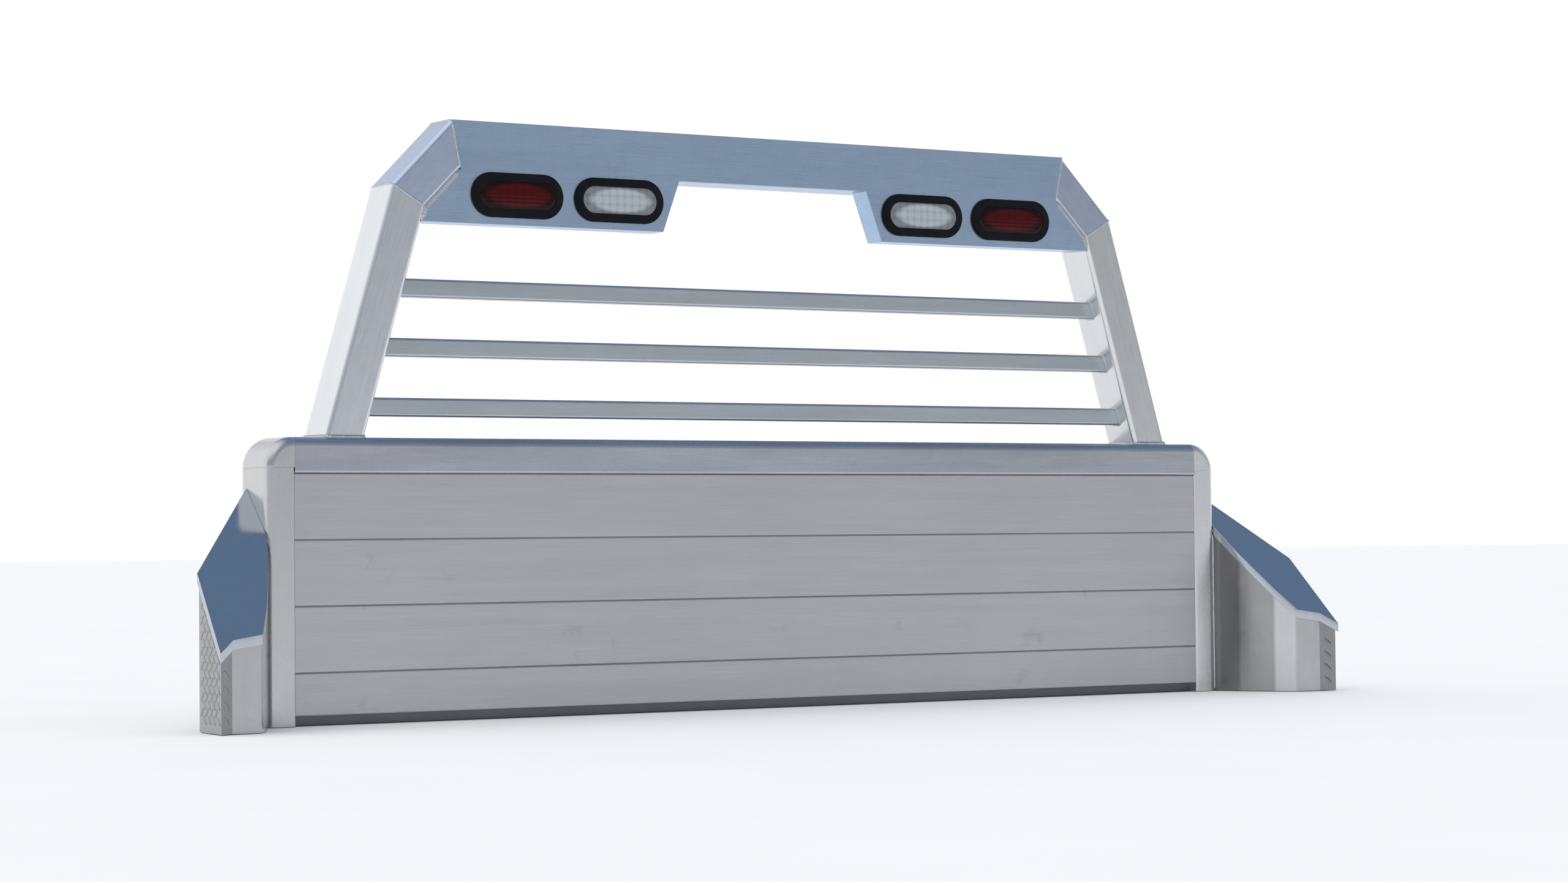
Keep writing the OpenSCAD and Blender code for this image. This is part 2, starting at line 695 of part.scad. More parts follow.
gland_d = 16;
gland_head_d = 24;
gland_head_t = 6;
gland_x = post_inner_x(gland_z) + foot_span / 2;
loom_route = [
    [lamp_outer_x + plug_size[0] / 2, loom_y, lamp_z], [loom_rise_x, loom_y, lamp_z],
    [loom_rise_x, loom_y, loom_cross_z], [-loom_rise_x, loom_y, loom_cross_z],
    [-loom_rise_x, loom_y, lamp_z], [-lamp_outer_x - loom_tail[0], loom_y, lamp_z],
    [-lamp_outer_x - loom_tail[1], loom_y, loom_post_z],
    [-post_inner_x(loom_post_z) - foot_span / 2, loom_y, loom_post_z],
    [-gland_x, loom_y, gland_z], [-gland_x, frame_front_y, gland_z]
];
module wiring_loom() { color("black") cable(round_route(loom_route, loom_bend, loom_facets[0]), loom_d, loom_facets[1]); }

module loom_gland() {
    color("dimgray") difference() {
        union() {
            rod([-gland_x, frame_front_y, gland_z], [-gland_x, frame_front_y + gland_head_t, gland_z], gland_head_d);
            rod([-gland_x, frame_front_y - tube_wall, gland_z], [-gland_x, frame_front_y, gland_z], gland_d);
        }
        rod([-gland_x, frame_front_y - tube_wall - 1, gland_z],
            [-gland_x, frame_front_y + gland_head_t + 1, gland_z], loom_d);
    }
}

// ---- wings ----
// Everything below the sloped underside of the cap, or below the cap's own top
module under_slope(drop) {
    translate([half_w + wing_out, rear_y - wing_back, wing_low_h])
        rotate([0, wing_slope, -wing_fall]) translate([0, 0, -wing_tall - drop])
            translate([-wing_tall, -wing_tall, 0]) cube([2 * wing_tall, 2 * wing_tall, wing_tall]);
}
module wing_skin() {
    intersection() {
        linear_extrude(wing_tall) difference() {
            polygon(wing_plan);
            polygon(wing_skin_inside);
        }
        under_slope(sheet_t);
    }
}
module wing_liner() {
    intersection() {
        linear_extrude(wing_tall) difference() {
            polygon(wing_skin_inside);
            polygon(wing_liner_inside);
        }
        under_slope(sheet_t);
    }
}
module wing_cap() {
    intersection() {
        difference() {
            linear_extrude(wing_tall) polygon(wing_lip_outside);
            under_slope(wing_lip * cos(wing_slope));
            intersection() {
                under_slope(sheet_t);
                linear_extrude(wing_tall) polygon(wing_plan);
            }
        }
        under_slope(0);
    }
}
module wing_foot() {
    difference() {
        linear_extrude(wing_foot_t) polygon(wing_liner_inside);
        for (p = wing_holes) translate([p[0], p[1], -1]) cylinder(h = wing_foot_t + 2, d = wing_hole_d);
    }
}
wing_holes = [for (k = [0, 1]) [
    half_w + wing_out - wing_hole_in, rear_y - wing_back + wing_hole_back + k * wing_hole_pitch
]];
module wing_skin_left() { color("silver") on_left() wing_skin(); }
module wing_skin_right() { color("silver") wing_skin(); }
module wing_liner_left() { color("gainsboro") on_left() wing_liner(); }
module wing_liner_right() { color("gainsboro") wing_liner(); }
module wing_cap_left() { color("steelblue") on_left() wing_cap(); }
module wing_cap_right() { color("steelblue") wing_cap(); }
module wing_foot_left() { color("darkgray") on_left() wing_foot(); }
module wing_foot_right() { color("darkgray") wing_foot(); }

base_sill();
end_post_left();
end_post_right();
bulkhead_plank_1();
bulkhead_plank_2();
bulkhead_plank_3();
bulkhead_plank_4();
top_rail();
rail_corner_left();
rail_corner_right();
stud_outer_left();
stud_inner_left();
stud_inner_right();
stud_outer_right();
frame_post_left();
frame_post_right();
corner_tube_left();
corner_tube_right();
top_crossmember();
lamp_panel();
light_box_left();
light_box_right();
box_cover_left();
box_cover_right();
cover_screws();
window_bar_1();
window_bar_2();
window_bar_3();
grommet_outer_left();
grommet_inner_left();
grommet_inner_right();
grommet_outer_right();
lens_red_left();
lens_clear_left();
lens_clear_right();
lens_red_right();
housing_outer_left();
housing_inner_left();
housing_inner_right();
housing_outer_right();
led_board_outer_left();
led_board_inner_left();
led_board_inner_right();
led_board_outer_right();
lamp_plugs();
wiring_loom();
loom_gland();
wing_skin_left();
wing_skin_right();
wing_liner_left();
wing_liner_right();
wing_cap_left();
wing_cap_right();
wing_foot_left();
wing_foot_right();
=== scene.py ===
import math

import bmesh
import bpy
from mathutils import Matrix, Vector


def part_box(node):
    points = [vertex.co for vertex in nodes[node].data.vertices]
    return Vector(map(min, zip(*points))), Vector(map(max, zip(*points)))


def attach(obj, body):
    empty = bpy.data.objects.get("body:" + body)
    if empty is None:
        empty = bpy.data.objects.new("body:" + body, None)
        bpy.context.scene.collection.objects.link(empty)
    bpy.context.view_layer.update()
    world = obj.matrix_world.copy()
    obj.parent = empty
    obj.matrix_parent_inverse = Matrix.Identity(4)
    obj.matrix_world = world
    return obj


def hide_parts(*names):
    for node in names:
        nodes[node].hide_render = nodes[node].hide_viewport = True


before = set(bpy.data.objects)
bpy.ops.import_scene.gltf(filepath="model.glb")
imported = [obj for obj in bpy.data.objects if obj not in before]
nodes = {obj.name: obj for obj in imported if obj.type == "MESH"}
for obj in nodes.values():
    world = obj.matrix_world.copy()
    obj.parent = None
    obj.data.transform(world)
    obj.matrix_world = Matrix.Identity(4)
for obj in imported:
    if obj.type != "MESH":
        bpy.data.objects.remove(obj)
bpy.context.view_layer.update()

places = ["outer_left", "inner_left", "inner_right", "outer_right"]
sides = ["left", "right"]
print("frame loaded:", len(nodes), "nodes")


# camera and stage

cameraSetup = {
    "place": (-3.832, -5.875, 0.315),   # metres, standing on the deck's left rear side
    "yaw": 33.4,                        # degrees from +Y towards +X
    "pitch": 1.58,
    "roll": -0.56,
    "lens": 84.0,
}


def makeCamera(setup):
    yaw, pitch, roll = (math.radians(setup[k]) for k in ("yaw", "pitch", "roll"))
    ahead = Vector((math.sin(yaw) * math.cos(pitch), math.cos(yaw) * math.cos(pitch), math.sin(pitch)))
    level = Vector((math.cos(yaw), -math.sin(yaw), 0.0))
    up = level.cross(ahead)
    right = level * math.cos(roll) + up * math.sin(roll)
    top = up * math.cos(roll) - level * math.sin(roll)
    data = bpy.data.cameras.new("camera")
    data.lens = setup["lens"]
    data.clip_end = 200.0
    camera = bpy.data.objects.new("camera", data)
    bpy.context.scene.collection.objects.link(camera)
    turn = Matrix((right, top, -ahead)).transposed().to_4x4()
    camera.matrix_world = Matrix.Translation(setup["place"]) @ turn
    bpy.context.scene.camera = camera


makeCamera(cameraSetup)


# helpers for node materials

def newMaterial(name):
    material = bpy.data.materials.new(name)
    material.use_nodes = True
    tree = material.node_tree
    return material, tree, tree.nodes["Principled BSDF"]


def addNode(tree, kind, **settings):
    node = tree.nodes.new(kind)
    for key, value in settings.items():
        if hasattr(node, key):
            setattr(node, key, value)
        else:
            node.inputs[key].default_value = value
    return node


def stretchedCoords(tree, scale=(1.0, 1.0, 1.0), lean=0.0):
    vector = addNode(tree, "ShaderNodeTexCoord").outputs["Object"]
    steps = [{"Scale": scale}]
    if lean:
        steps.insert(0, {"Rotation": (0.0, math.radians(lean), 0.0)})    # turned upright, then stretched
    for step in steps:
        mapping = addNode(tree, "ShaderNodeMapping", **step)
        tree.links.new(vector, mapping.inputs["Vector"])
        vector = mapping.outputs["Vector"]
    return vector


def noiseOn(tree, vector, scale, detail=4.0, roughness=0.55):
    noise = addNode(tree, "ShaderNodeTexNoise", Scale=scale, Detail=detail, Roughness=roughness)
    tree.links.new(vector, noise.inputs["Vector"])
    return noise.outputs["Fac"]


def spread(tree, value, low, high, fromLow=0.3, fromHigh=0.7):
    node = addNode(tree, "ShaderNodeMapRange")
    node.inputs["From Min"].default_value = fromLow
    node.inputs["From Max"].default_value = fromHigh
    node.inputs["To Min"].default_value = low
    node.inputs["To Max"].default_value = high
    tree.links.new(value, node.inputs["Value"])
    return node.outputs["Result"]


def blendColours(tree, value, first, second):
    ramp = tree.nodes.new("ShaderNodeValToRGB")
    ramp.color_ramp.elements[0].position = 0.3
    ramp.color_ramp.elements[0].color = (*first, 1.0)
    ramp.color_ramp.elements[1].position = 0.7
    ramp.color_ramp.elements[1].color = (*second, 1.0)
    tree.links.new(value, ramp.inputs["Fac"])
    return ramp.outputs["Color"]


def multiplyColours(tree, first, second, share=1.0):
    node = tree.nodes.new("ShaderNodeMix")
    node.data_type = "RGBA"
    node.blend_type = "MULTIPLY"
    node.inputs[0].default_value = share
    tree.links.new(first, node.inputs[6])
    tree.links.new(second, node.inputs[7])
    return node.outputs[2]


def mixColours(tree, share, *pair):
    node = tree.nodes.new("ShaderNodeMix")
    node.data_type = "RGBA"
    tree.links.new(share, node.inputs[0])
    for socket, colour in zip((node.inputs[6], node.inputs[7]), pair):
        if isinstance(colour, tuple):
            socket.default_value = colour
        else:
            tree.links.new(colour, socket)
    return node.outputs[2]


def bumpFrom(tree, shader, height, strength, distance):
    bump = addNode(tree, "ShaderNodeBump", Strength=strength, Distance=distance)
    tree.links.new(height, bump.inputs["Height"])
    tree.links.new(bump.outputs["Normal"], shader.inputs["Normal"])


def shade(colour, factor):
    return tuple(min(1.0, c * factor) for c in colour)


# aluminium: long brushing lines, soft clouds of tone, small handling marks

brushed = {
    "fineLines": 900.0,      # lines per metre across the brushing
    "lineStretch": 0.012,    # their width as a share of their length
    "broadLines": 60.0,
    "patches": 14.0,         # long patches of duller metal
    "patchStretch": 0.14,
    "cloud": 3.0,
    "marks": 26.0,
    "scuffs": 9.0,
    "lineRoughness": 0.03,   # how far the roughness swings from line to line
    "bump": 0.06,
    "bumpDepth": 0.0003,
}


# painted reflection and shade: tone that changes along Y, from the first place to the last, each with its
# share of the sheet's tone
def paintedReflectionBands(tree, paintedBands):
    parts = addNode(tree, "ShaderNodeSeparateXYZ")
    tree.links.new(stretchedCoords(tree), parts.inputs["Vector"])
    low, high = paintedBands[0][0], paintedBands[-1][0]
    ramp = tree.nodes.new("ShaderNodeValToRGB")
    tree.links.new(spread(tree, parts.outputs["Y"], 0.0, 1.0, low, high), ramp.inputs["Fac"])
    while len(ramp.color_ramp.elements) < len(paintedBands):
        ramp.color_ramp.elements.new(0.5)
    for element, (place, tone) in zip(ramp.color_ramp.elements, paintedBands):
        element.position = (place - low) / (high - low)
        element.color = (tone, tone, tone, 1.0)
    return ramp.outputs["Color"]


# along is 0, 1 or 2 for brushing along X, Y or Z, and lean turns it about Y, in degrees;
# streak darkens long patches, and the last argument gives bands of painted reflection and shade along Y
def aluminium(name, tint, along, roughness, contrast=0.05, lean=0.0, streak=0.0, paintedBands=None):
    material, tree, shader = newMaterial(name)

    def lines(count, stretch, detail, grain):
        scale = [1.0, 1.0, 1.0]
        scale[along] = stretch
        return noiseOn(tree, stretchedCoords(tree, scale, lean), count, detail, grain)

    plain = stretchedCoords(tree)
    fine = lines(brushed["fineLines"], brushed["lineStretch"], 3.0, 0.6)
    broad = lines(brushed["broadLines"], brushed["lineStretch"] * 2.0, 5.0, 0.6)
    patches = lines(brushed["patches"], brushed["patchStretch"], 3.0, 0.55)
    cloud = noiseOn(tree, plain, brushed["cloud"], 3.0, 0.5)
    marks = noiseOn(tree, plain, brushed["marks"], 6.0, 0.7)
    scuffs = noiseOn(tree, plain, brushed["scuffs"], 9.0, 0.75)
    tone = blendColours(tree, fine, shade(tint, 1.0 - contrast), shade(tint, 1.0 + contrast * 0.6))
    layers = [
        blendColours(tree, broad, (1.0 - contrast,) * 3, (1.0, 1.0, 1.0)),
        blendColours(tree, cloud, (0.95, 0.95, 0.96), (1.0, 1.0, 1.0)),
        blendColours(tree, patches, (1.0 - streak,) * 3, (1.0, 1.0, 1.0)),
        blendColours(tree, spread(tree, scuffs, 0.0, 1.0, 0.30, 0.42), (0.91, 0.91, 0.91), (1.0, 1.0, 1.0)),
    ]
    if paintedBands:
        layers.append(paintedReflectionBands(tree, paintedBands))
    for layer in layers:
        tone = multiplyColours(tree, tone, layer)
    tree.links.new(tone, shader.inputs["Base Color"])
    shader.inputs["Metallic"].default_value = 1.0
    rough = addNode(tree, "ShaderNodeMath", operation="ADD")
    swing = brushed["lineRoughness"]
    tree.links.new(spread(tree, fine, roughness - swing, roughness + swing), rough.inputs[0])
    tree.links.new(spread(tree, marks, -0.02, 0.04), rough.inputs[1])
    tree.links.new(rough.outputs[0], shader.inputs["Roughness"])
    bumpFrom(tree, shader, fine, brushed["bump"], brushed["bumpDepth"])
    return material


# how far the frame posts lean, in degrees, from the post's own corners
post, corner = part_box("frame_post_right"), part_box("corner_tube_right")
postLean = math.degrees(math.atan2(post[1].x - corner[1].x, post[1].z - post[0].z))

# painted reflection and shade on the liners, darker at the bulkhead and brighter towards the rear: metres
# along Y, share of the tone
wingPaintedReflections = [(-0.215, 0.70), (-0.204, 0.70), (-0.200, 0.95), (-0.168, 0.90),
              (-0.162, 0.56), (-0.101, 0.50), (-0.094, 0.32), (-0.040, 0.34)]
finishes = {
    "plank": aluminium("plankAluminium", (0.615, 0.610, 0.625), 0, 0.36, 0.08),
    "rail": aluminium("railAluminium", (0.60, 0.63, 0.68), 0, 0.25, 0.07, streak=0.22),
    "bar": aluminium("barAluminium", (0.60, 0.65, 0.69), 0, 0.30, 0.07, streak=0.12),
    # the panel's blue tint is a painted sky reflection, not the metal's own colour
    "panel": aluminium("panelPaintedSkyTint", (0.475, 0.62, 0.80), 0, 0.28, 0.05, streak=0.08),
    # painted light: the end posts are lit and shaded copies of one aluminium, the left one darker and the
    # right one lighter
    "endLeft": aluminium("endAluminiumLeftShaded", (0.66, 0.665, 0.675), 2, 0.24, 0.035),
    "endRight": aluminium("endAluminiumRightLit", (0.82, 0.825, 0.83), 2, 0.24, 0.035),
    # painted light: the frame posts are lit and shaded copies, the left one lighter and tinted with a painted
    # blue sky reflection
    "postLeft": aluminium("postAluminiumLeftLit", (0.82, 0.85, 0.89), 2, 0.22, 0.035, lean=-postLean),
    "postRight": aluminium("postAluminiumRightShaded", (0.79, 0.80, 0.80), 2, 0.22, 0.035, lean=postLean),
    # painted sky reflection: the corner tubes are tinted blue, the left one lighter and the right one darker
    "cornerLeft": aluminium("cornerSkyTintLeftLit", (0.615, 0.71, 0.87), 2, 0.24, 0.035, lean=-45.0),
    "cornerRight": aluminium("cornerSkyTintRightShaded", (0.56, 0.63, 0.78), 2, 0.24, 0.035, lean=45.0),
    # painted shade: the sill's dark tint stands for the shadow in the gap under the planks
    "sill": aluminium("sillPaintedShade", (0.22, 0.23, 0.25), 0, 0.45, 0.10),
    "mill": aluminium("millAluminium", (0.60, 0.61, 0.62), 0, 0.45, 0.10),
    "stud": aluminium("studAluminium", (0.60, 0.61, 0.62), 2, 0.45, 0.10),
    # the liner sheet carries bands of painted reflection and shade along Y
    "sheet": aluminium("wingSheetPaintedReflection", (0.74, 0.755, 0.765), 2, 0.16, 0.04, paintedBands=wingPaintedReflections),
    # the caps' blue tint is a painted sky reflection
    "cap": aluminium("wingCapPaintedSkyTint", (0.55, 0.58, 0.62), 1, 0.10, 0.04),
    "tread": aluminium("treadPlate", (0.36, 0.362, 0.366), 2, 0.22, 0.05),
    "stainless": aluminium("stainlessScrew", (0.60, 0.60, 0.61), 0, 0.25, 0.08),
}


# plastics and circuit board

def grained(name, dark, light, roughness, grain, bump, gloss):
    material, tree, shader = newMaterial(name)
    plain = stretchedCoords(tree)
    fine = noiseOn(tree, plain, grain, 5.0, 0.6)
    dust = noiseOn(tree, plain, 18.0, 4.0, 0.6)
    tree.links.new(blendColours(tree, dust, dark, light), shader.inputs["Base Color"])
    tree.links.new(spread(tree, fine, roughness - 0.08, roughness + 0.08), shader.inputs["Roughness"])
    shader.inputs["Specular IOR Level"].default_value = gloss
    bumpFrom(tree, shader, fine, bump, 0.0002)
    return material


def boardMaterial():
    material, tree, shader = newMaterial("circuitBoard")
    brick = addNode(tree, "ShaderNodeTexBrick", Scale=90.0)
    brick.inputs["Color1"].default_value = (0.01, 0.16, 0.05, 1.0)
    brick.inputs["Color2"].default_value = (0.015, 0.20, 0.07, 1.0)
    brick.inputs["Mortar"].default_value = (0.05, 0.32, 0.12, 1.0)
    upright = addNode(tree, "ShaderNodeMapping", Rotation=(math.radians(90.0), 0.0, 0.0))
    tree.links.new(stretchedCoords(tree), upright.inputs["Vector"])
    tree.links.new(upright.outputs["Vector"], brick.inputs["Vector"])
    tree.links.new(brick.outputs["Color"], shader.inputs["Base Color"])
    shader.inputs["Roughness"].default_value = 0.35
    return material


finishes.update({
    "blackPlastic": grained("blackPlastic", (0.010, 0.010, 0.011), (0.022, 0.022, 0.024),
                            0.42, 500.0, 0.10, 0.35),
    "board": boardMaterial(),
})
print("metal and plastic finishes made:", len(finishes))


# pieces that keep the shape of their node, with softened edges

def addPiece(name, mesh, finish, replaced=(), place=(0.0, 0.0, 0.0)):
    mesh.materials.clear()
    mesh.materials.append(finishes[finish])
    for face in mesh.polygons:
        face.use_smooth = True
    piece = bpy.data.objects.new(name, mesh)
    bpy.context.scene.collection.objects.link(piece)
    piece.location = place
    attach(piece, "root")
    if replaced:
        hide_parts(*replaced)
    return piece


def softenEdges(piece, edge, angle=32.0):
    bevel = piece.modifiers.new("softEdge", "BEVEL")
    bevel.width = edge
    bevel.segments = 2
    bevel.limit_method = "ANGLE"
    bevel.angle_limit = math.radians(angle)
    even = piece.modifiers.new("evenShading", "WEIGHTED_NORMAL")
    even.weight = 100


def camel(nodeName):
    words = nodeName.split("_")
    return words[0] + "".join(w.capitalize() for w in words[1:])


def dressNode(nodeName, finish, edge):
    source = nodes[nodeName].data
    mesh = bpy.data.meshes.new(camel(nodeName))
    mesh.from_pydata([tuple(v.co) for v in source.vertices], [], [tuple(f.vertices) for f in source.polygons])
    shape = bmesh.new()
    shape.from_mesh(mesh)
    bmesh.ops.remove_doubles(shape, verts=shape.verts, dist=1e-6)
    bmesh.ops.dissolve_limit(shape, angle_limit=math.radians(0.4), verts=shape.verts, edges=shape.edges)
    bmesh.ops.recalc_face_normals(shape, faces=shape.faces)
    shape.to_mesh(mesh)
    shape.free()
    piece = addPiece(camel(nodeName), mesh, finish, [nodeName])
    softenEdges(piece, edge)
    return piece


dressed = {
    "plank": ("plank_aluminium", 0.0005, ["bulkhead_plank_%d" % i for i in range(1, 5)]),
    "rail": ("rail_aluminium", 0.0008, ["top_rail"]),
    "bar": ("rail_aluminium", 0.0008, ["window_bar_%d" % i for i in range(1, 4)]),
    "endLeft": ("post_aluminium", 0.0008, ["end_post_left", "rail_corner_left"]),
    "endRight": ("post_aluminium", 0.0008, ["end_post_right", "rail_corner_right"]),
    "postLeft": ("post_aluminium", 0.0008, ["frame_post_left"]),
    "postRight": ("post_aluminium", 0.0008, ["frame_post_right"]),
    "cornerLeft": ("post_aluminium", 0.0008, ["corner_tube_left"]),
    "cornerRight": ("post_aluminium", 0.0008, ["corner_tube_right"]),
    "panel": ("panel_aluminium", 0.0007, ["top_crossmember", "lamp_panel", "light_box_left",
                                         "light_box_right", "box_cover_left", "box_cover_right"]),
    "sill": ("mill_aluminium", 0.0008, ["base_sill"]),
    "mill": ("mill_aluminium", 0.0008, ["wing_foot_left", "wing_foot_right"]),
    "stud": ("mill_aluminium", 0.0008, ["stud_%s" % p for p in places]),
    "sheet": ("wing_sheet", 0.0006, ["wing_liner_left", "wing_liner_right"]),
    "cap": ("wing_sheet", 0.0008, ["wing_cap_left", "wing_cap_right"]),
    "blackPlastic": ("lamp_housing", 0.0006, ["housing_%s" % p for p in places] + ["lamp_plugs"]),
}
for finish, (slot, edge, names) in dressed.items():
    for nodeName in names:
        dressNode(nodeName, finish, edge)
print("edges softened")

for nodeName in ["led_board_%s" % p for p in places]:
    nodes[nodeName].data.materials.clear()
    nodes[nodeName].data.materials.append(finishes["board"])
nodes["wiring_loom"].data.materials.clear()
nodes["wiring_loom"].data.materials.append(finishes["blackPlastic"])


# tread plate lozenges on the outer sheets of the corner wings

tread = {
    "pitch": 0.026,        # metres between neighbouring lozenges
    "length": 0.023,
    "width": 0.0066,
    "height": 0.0013,
    "border": 0.003,       # flat margin along every edge
    "underLip": 0.019,     # kept clear below the cap's folded lip
}


def flatSides(mesh):
    groups = {}
    for face in mesh.polygons:
        normal = face.normal
        key = tuple(round(v, 2) for v in normal) + (round(normal.dot(face.center), 3),)
        groups.setdefault(key, []).append(face)
    return [g for g in groups.values() if sum(f.area for f in g) > 0.003]


def onSide(corners, point, normal):
    for face in corners:
        if all((b - a).cross(point - a).dot(normal) > -1e-9 for a, b in zip(face, face[1:] + face[:1])):
            return True
    return False


def addLozenge(shape, centre, along, across, out):
    half, wide, tall = tread["length"] / 2, tread["width"] / 2, tread["height"]
    sides = 12
    rings = []
    for share, rise in ((1.0, -0.0001), (0.80, tall * 0.55), (0.45, tall * 0.95)):
        ring = []
        for step in range(sides):
            angle = 2.0 * math.pi * step / sides
            x, y = math.cos(angle), math.sin(angle)
            pointed = 1.0 - 0.4 * abs(x) ** 3
            reach = along * (half * x * (0.6 + 0.4 * share)) + across * (wide * y * share * pointed)
            ring.append(shape.verts.new(centre + reach + out * rise))
        rings.append(ring)
    for low, high in zip(rings, rings[1:]):
        for i in range(sides):
            j = (i + 1) % sides
            shape.faces.new((low[i], low[j], high[j], high[i]))
    shape.faces.new(rings[-1])


# rows of lozenges over one flat side, turned one way and the other in turn
def coverSide(shape, mesh, group):
    normal = group[0].normal.copy()
    up = Vector((0.0, 0.0, 1.0))
    level = normal.cross(up).normalized()
    corners = [[mesh.vertices[i].co.copy() for i in face.vertices] for face in group]
    flat = [c for face in corners for c in face]
    low = min(c.dot(level) for c in flat)
    wide = max(c.dot(level) for c in flat) - low
    tall = max(c.z for c in flat)
    offset = normal.dot(flat[0])
    lift = up * tread["underLip"]
    step = tread["pitch"] / 2
    start = low + (wide % step) / 2
    count = 0
    for row in range(int(tall / step) + 1):
        for column in range(row % 2, int(wide / step) + 2, 2):
            point = level * (start + column * step) + up * ((row + 0.7) * step) + normal * offset
            turned = math.radians(45.0 if column % 2 else -45.0)
            along = level * math.cos(turned) + up * math.sin(turned)
            reach = along * (tread["length"] / 2 + tread["border"])
            limits = (point + reach, point - reach, point + reach + lift, point + lift)
            if all(onSide(corners, p, normal) for p in limits):
                addLozenge(shape, point, along, normal.cross(along), normal)
                count += 1
    return count


def treadPlate(side):
    nodeName = "wing_skin_%s" % side
    dressNode(nodeName, "tread", 0.0006)
    mesh = nodes[nodeName].data
    footLow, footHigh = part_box("wing_foot_%s" % side)
    middle = (footLow + footHigh) / 2
    shape = bmesh.new()
    count = 0
    for group in flatSides(mesh):
        normal = group[0].normal
        if abs(normal.z) <= 0.2 and normal.dot(group[0].center - middle) >= 0:
            count += coverSide(shape, mesh, group)
    lugs = bpy.data.meshes.new("treadLugs" + side.capitalize())
    shape.to_mesh(lugs)
    shape.free()
    addPiece(lugs.name, lugs, "tread")
    return count


print("tread lozenges:", sum(treadPlate(s) for s in sides))


# lamps: rubber grommets with a rounded lip, domed lenses with moulded pillows

lamp = {
    "width": 0.164,        # over the lens flange
    "height": 0.056,
    "lip": 0.013,          # rubber outside the lens
    "innerLip": 0.009,     # rubber outside the panel's hole, behind the panel
    "pillow": 0.0072,      # size of the moulded pillows
    "pillowDepth": 0.0004,
    "dome": 0.0018,        # crown of the lens
    "domeRings": 17,
    "cups": 62.0,          # cups per metre in the reflector
}


# a lens over a bright reflector: light in the middle, with painted shade darkening it towards the rim, and a
# mottle of moulded optics
def lensMaterial(name, middle, rim, gloss):
    material, tree, shader = newMaterial(name)
    length = addNode(tree, "ShaderNodeVectorMath", operation="LENGTH")
    overLens = (2.0 / lamp["width"], 0.0, 2.0 / lamp["height"])
    tree.links.new(stretchedCoords(tree, overLens), length.inputs[0])
    cups = addNode(tree, "ShaderNodeTexVoronoi", Scale=lamp["cups"], Randomness=0.0)
    tree.links.new(stretchedCoords(tree, (1.0, 0.0, 1.0)), cups.inputs["Vector"])
    # painted shade: the lens colour fades from the middle to the darker rim
    body = blendColours(tree, spread(tree, length.outputs["Value"], 1.0, 0.0, 0.55, 1.0), rim, middle)
    cell = blendColours(tree, cups.outputs["Distance"], (1.0, 1.0, 1.0), (0.72, 0.72, 0.72))
    tree.links.new(multiplyColours(tree, body, cell), shader.inputs["Base Color"])
    haze = noiseOn(tree, stretchedCoords(tree), 90.0, 3.0)
    tree.links.new(spread(tree, haze, 0.08, 0.16), shader.inputs["Roughness"])
    shader.inputs["Specular IOR Level"].default_value = gloss
    return material


finishes.update({
    "rubber": grained("grommetRubber", (0.003, 0.004, 0.005), (0.008, 0.009, 0.011),
                      0.60, 700.0, 0.12, 0.10),
    # the second colour of each lens is its rim, darkened by painted shade
    "redLens": lensMaterial("redLens", (0.060, 0.002, 0.003), (0.012, 0.001, 0.0015), 0.18),
    "clearLens": lensMaterial("clearLens", (0.42, 0.46, 0.49), (0.18, 0.20, 0.225), 0.46),
})


def ovalLoop(width, height, y, steps=208):
    radius = height / 2
    straight = max(width - height, 0.0)
    arc = math.pi * lamp["height"] / 2
    quarter = int(steps * arc / (2 * arc + 2 * (lamp["width"] - lamp["height"])) / 2) * 2
    side = steps // 2 - quarter
    loop = []
    for end in (1, -1):
        for k in range(quarter):
            angle = math.pi * (k / quarter - 0.5)
            loop.append((end * (straight / 2 + radius * math.cos(angle)), y, end * radius * math.sin(angle)))
        for k in range(side):
            loop.append((end * straight * (0.5 - k / side), y, end * radius))
    return loop


def skinLoops(shape, loops, closed=False):
    rings = [[shape.verts.new(p) for p in loop] for loop in loops]
    pairs = list(zip(rings, rings[1:])) + ([(rings[-1], rings[0])] if closed else [])
    for a, b in pairs:
        for i in range(len(a)):
            j = (i + 1) % len(a)
            shape.faces.new((a[i], b[i], b[j], a[j]))
    return rings


def placedMesh(name, shape, place, finish, replaced):
    bmesh.ops.recalc_face_normals(shape, faces=shape.faces)
    mesh = bpy.data.meshes.new(name)
    shape.to_mesh(mesh)
    shape.free()
    return addPiece(name, mesh, finish, replaced, place)


# face and neck are the panel's two faces, back the rubber's front end: millimetres from the lens's seat
def makeGrommet(nodeName, place, face, neck, back):
    width, height = (lamp[k] + 2 * lamp["lip"] for k in ("width", "height"))
    lip = lamp["lip"] * 1000
    edge = lip - lamp["innerLip"] * 1000
    # millimetres in from the outside, and along Y from the lens's seat
    profile = [
        (0.0, face), (0.0, -1.4), (0.5, -2.9), (1.9, -4.1), (4.2, -4.6), (lip - 3.4, -4.7),
        (lip + 0.2, -4.55), (lip + 2.0, -4.2), (lip + 2.8, -3.7), (lip + 2.9, -3.35), (lip + 2.2, -3.2),
        (lip, -3.2), (lip - 0.2, -2.6), (lip - 0.2, 3.0), (lip + 3.0, 3.0), (lip + 3.0, back),
        (edge + 0.6, back), (edge, back - 0.6), (edge, neck), (lip - 5.0, neck), (lip - 5.0, face),
    ]
    shape = bmesh.new()
    loops = [ovalLoop(width - 2 * d / 1000, height - 2 * d / 1000, y / 1000, 120) for d, y in profile]
    skinLoops(shape, loops, True)
    piece = placedMesh(camel(nodeName), shape, place, "rubber", [nodeName])
    even = piece.modifiers.new("evenShading", "WEIGHTED_NORMAL")
    even.weight = 60


